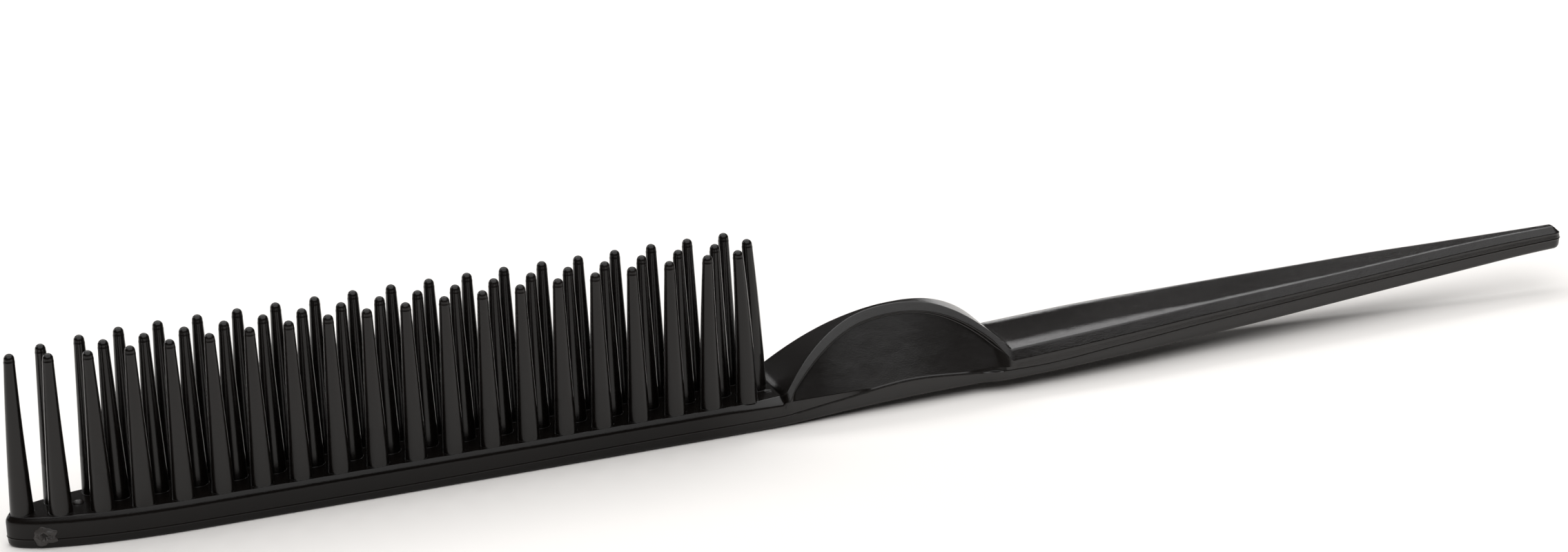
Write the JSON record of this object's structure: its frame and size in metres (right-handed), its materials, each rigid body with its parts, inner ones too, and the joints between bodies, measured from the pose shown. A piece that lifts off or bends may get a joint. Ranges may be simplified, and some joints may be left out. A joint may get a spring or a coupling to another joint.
{
  "type": "rat tail teasing comb",
  "caption": "Teasing comb with rows of domed pins on a slim bar, a raised finger grip with set-back side panels and a long tapering tail.",
  "frame": {"origin": "under the middle of the comb's length, on the flat back that the comb rests on", "axes": "+X from the nose to the tail tip, +Y across the comb, +Z the way the pins point"},
  "size_m": [0.222, 0.0124, 0.0251],
  "materials": {
    "black_plastic": "Moulded black plastic, polished on the pins and the bar, with a faint orange-peel texture on the grip and the tail."
  },
  "bodies": {
    "root": {"spine_bar": "black_plastic", "thumb_grip": "black_plastic", "tail_handle": "black_plastic", "nose_pin": "black_plastic", "front_pin_01": "black_plastic", "front_pin_02": "black_plastic", "front_pin_03": "black_plastic", "front_pin_04": "black_plastic", "front_pin_05": "black_plastic", "front_pin_06": "black_plastic", "front_pin_07": "black_plastic", "front_pin_08": "black_plastic", "front_pin_09": "black_plastic", "front_pin_10": "black_plastic", "front_pin_11": "black_plastic", "front_pin_12": "black_plastic", "front_pin_13": "black_plastic", "front_pin_14": "black_plastic", "front_pin_15": "black_plastic", "front_pin_16": "black_plastic", "front_pin_17": "black_plastic", "front_pin_18": "black_plastic", "front_pin_19": "black_plastic", "back_pin_01": "black_plastic", "back_pin_02": "black_plastic", "back_pin_03": "black_plastic", "back_pin_04": "black_plastic", "back_pin_05": "black_plastic", "back_pin_06": "black_plastic", "back_pin_07": "black_plastic", "back_pin_08": "black_plastic", "back_pin_09": "black_plastic", "back_pin_10": "black_plastic", "back_pin_11": "black_plastic", "back_pin_12": "black_plastic", "back_pin_13": "black_plastic", "back_pin_14": "black_plastic", "back_pin_15": "black_plastic", "back_pin_16": "black_plastic", "back_pin_17": "black_plastic", "back_pin_18": "black_plastic", "back_pin_19": "black_plastic", "middle_pin_01": "black_plastic", "middle_pin_02": "black_plastic", "middle_pin_03": "black_plastic", "middle_pin_04": "black_plastic", "middle_pin_05": "black_plastic", "middle_pin_06": "black_plastic", "middle_pin_07": "black_plastic", "middle_pin_08": "black_plastic", "middle_pin_09": "black_plastic", "middle_pin_10": "black_plastic", "middle_pin_11": "black_plastic", "middle_pin_12": "black_plastic", "middle_pin_13": "black_plastic", "middle_pin_14": "black_plastic", "middle_pin_15": "black_plastic", "middle_pin_16": "black_plastic", "middle_pin_17": "black_plastic", "middle_pin_18": "black_plastic"}
  },
  "joints": []
}
